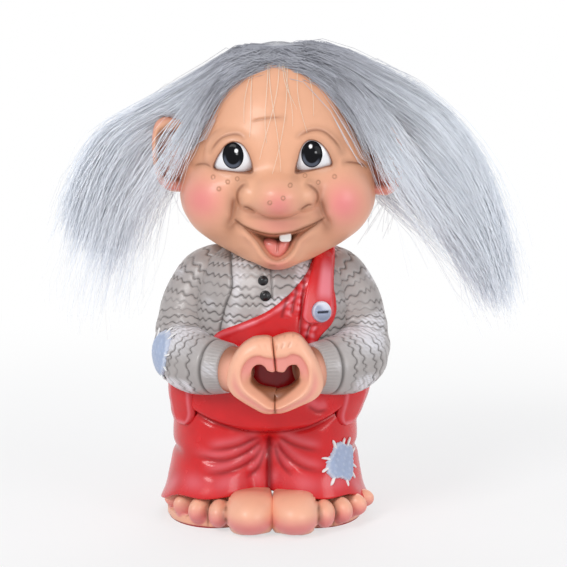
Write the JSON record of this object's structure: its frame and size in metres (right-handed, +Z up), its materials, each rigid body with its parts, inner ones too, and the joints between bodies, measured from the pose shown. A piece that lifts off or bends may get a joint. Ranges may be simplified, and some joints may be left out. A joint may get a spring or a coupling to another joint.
{
  "type": "troll figure",
  "caption": "Standing folk troll figure with long hair combed out to both sides, a knitted jumper and red dungarees, making a heart with its hands.",
  "frame": {"origin": "on the surface that the felt pads rest on, below the middle of the jumper body", "axes": "+Z up, the figure faces -Y, +X to the right as seen from the front"},
  "size_m": [0.1484, 0.0773, 0.1521],
  "materials": {
    "skin_paint": "satin, washed brown in the creases",
    "red_paint": "gloss, with pale dry-brushed edges",
    "jumper_paint": "satin, pearly dry brush on carved knit rows",
    "patch_paint": "satin",
    "stitch_paint": "satin",
    "button_grey": "satin",
    "button_black": "gloss",
    "eye_white": "gloss",
    "pupil_black": "high gloss",
    "tongue_paint": "gloss",
    "tooth_paint": "gloss",
    "wig_backing": "woven backing with fur",
    "hair": "long straight artificial fur, grey at the root and pale at the tip",
    "felt": "pressed red felt"
  },
  "bodies": {
    "root": {"felt_pads": "felt", "left_foot": "skin_paint", "right_foot": "skin_paint", "trousers": "red_paint", "left_pocket": "red_paint", "right_pocket": "red_paint", "knee_patch": "patch_paint", "knee_stitches": "stitch_paint", "jumper_body": "jumper_paint", "left_sleeve": "jumper_paint", "right_sleeve": "jumper_paint", "elbow_patch": "patch_paint", "elbow_stitches": "stitch_paint", "bib": "red_paint", "shoulder_strap": "red_paint", "strap_button": "button_grey", "jumper_buttons": "button_black", "left_hand": "skin_paint", "right_hand": "skin_paint", "head": "skin_paint", "left_ear": "skin_paint", "right_ear": "skin_paint", "left_eye": "eye_white", "right_eye": "eye_white", "left_pupil": "pupil_black", "right_pupil": "pupil_black", "tongue": "tongue_paint", "tooth": "tooth_paint", "wig_cap": "wig_backing", "hair_left": "hair", "hair_right": "hair", "hair_back": "hair"}
  },
  "joints": []
}
